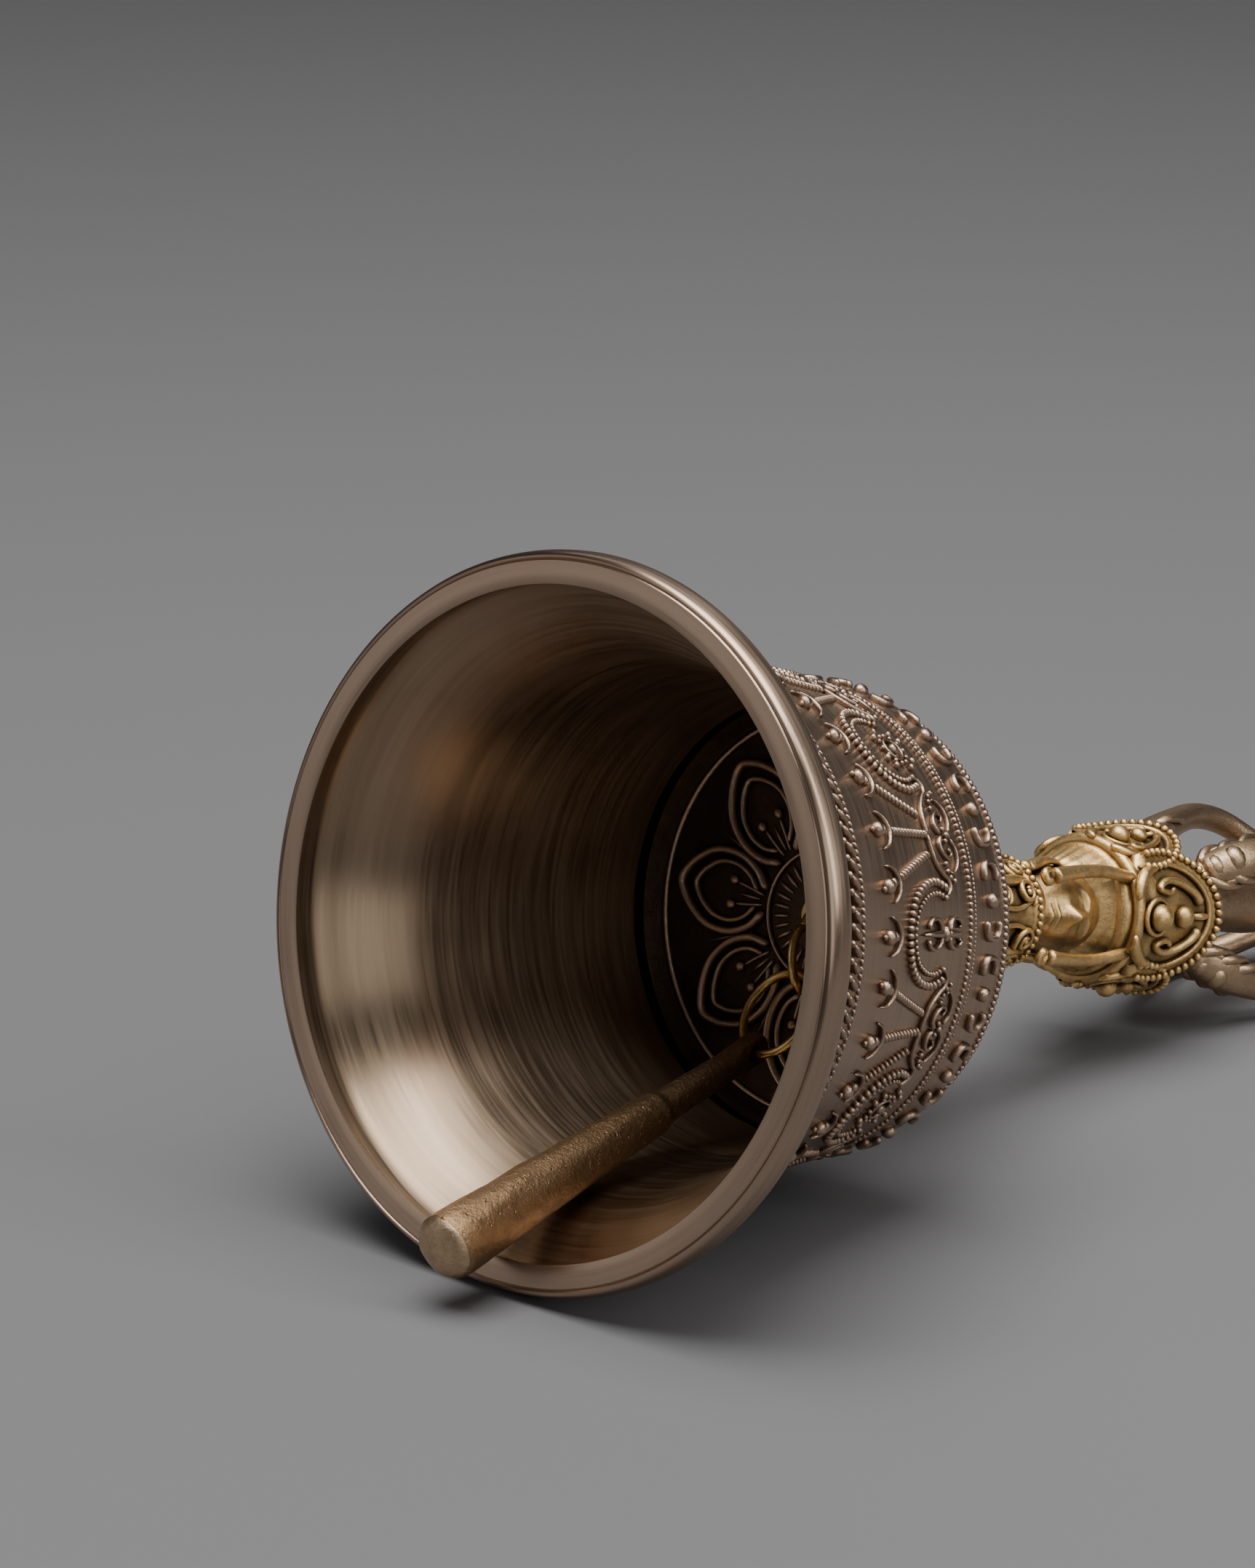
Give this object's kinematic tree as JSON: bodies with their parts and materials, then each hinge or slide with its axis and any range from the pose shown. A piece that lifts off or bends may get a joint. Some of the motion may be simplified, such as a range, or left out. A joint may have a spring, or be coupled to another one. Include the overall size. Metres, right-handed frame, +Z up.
{
  "type": "tibetan hand bell",
  "caption": "Flared bronze hand bell lying on its side, with a half-vajra handle, a face under a leafed crown, and a tapered striker hung on a wire ring.",
  "frame": {"origin": "on the surface it lies on, under the middle of its bounding box", "axes": "+Z up; +X from the mouth to the tip of the handle; the bell's own axis slopes down towards +X by about 13 degrees; the handle's face looks to -Y"},
  "size_m": [0.2064, 0.0986, 0.0966],
  "materials": {
    "bell_bronze": "brown bell bronze, ground bright on the lip, dark in the recesses of the relief",
    "handle_brass": "cast brass with dark patina in the recesses",
    "prong_bronze": "cast pinkish bronze, rubbed",
    "wire_brass": "drawn brass wire",
    "striker_bronze": "rough worn forged bronze",
    "hidden_steel": "plain steel"
  },
  "bodies": {
    "bell": {"bell_body": "bell_bronze", "crown_washer": "wire_brass", "eye_bolt": "wire_brass", "bolt_nut": "hidden_steel", "handle_foot": "handle_brass", "handle_vase": "handle_brass", "core_pin": "hidden_steel", "handle_head": "handle_brass", "diadem": "handle_brass", "vajra_hub": "handle_brass", "outer_prong_1": "prong_bronze", "outer_prong_2": "prong_bronze", "outer_prong_3": "prong_bronze", "outer_prong_4": "prong_bronze", "centre_prong": "prong_bronze"},
    "ring": {"wire_ring": "wire_brass"},
    "striker": {"striker": "striker_bronze"}
  },
  "joints": [
    {"name": "ring_swing", "type": "hinge", "parent": "bell", "child": "ring", "pos_m": [-0.03028, -0.0016, 0.02893], "axis": [0.9764, 0, -0.2158], "range_deg": [-58, 18]},
    {"name": "striker_swing", "type": "hinge", "parent": "ring", "child": "striker", "pos_m": [-0.03743, 0.00202, 0.01921], "axis": [0.3252, 0.9391, 0.1113], "range_deg": [0, 68]}
  ]
}
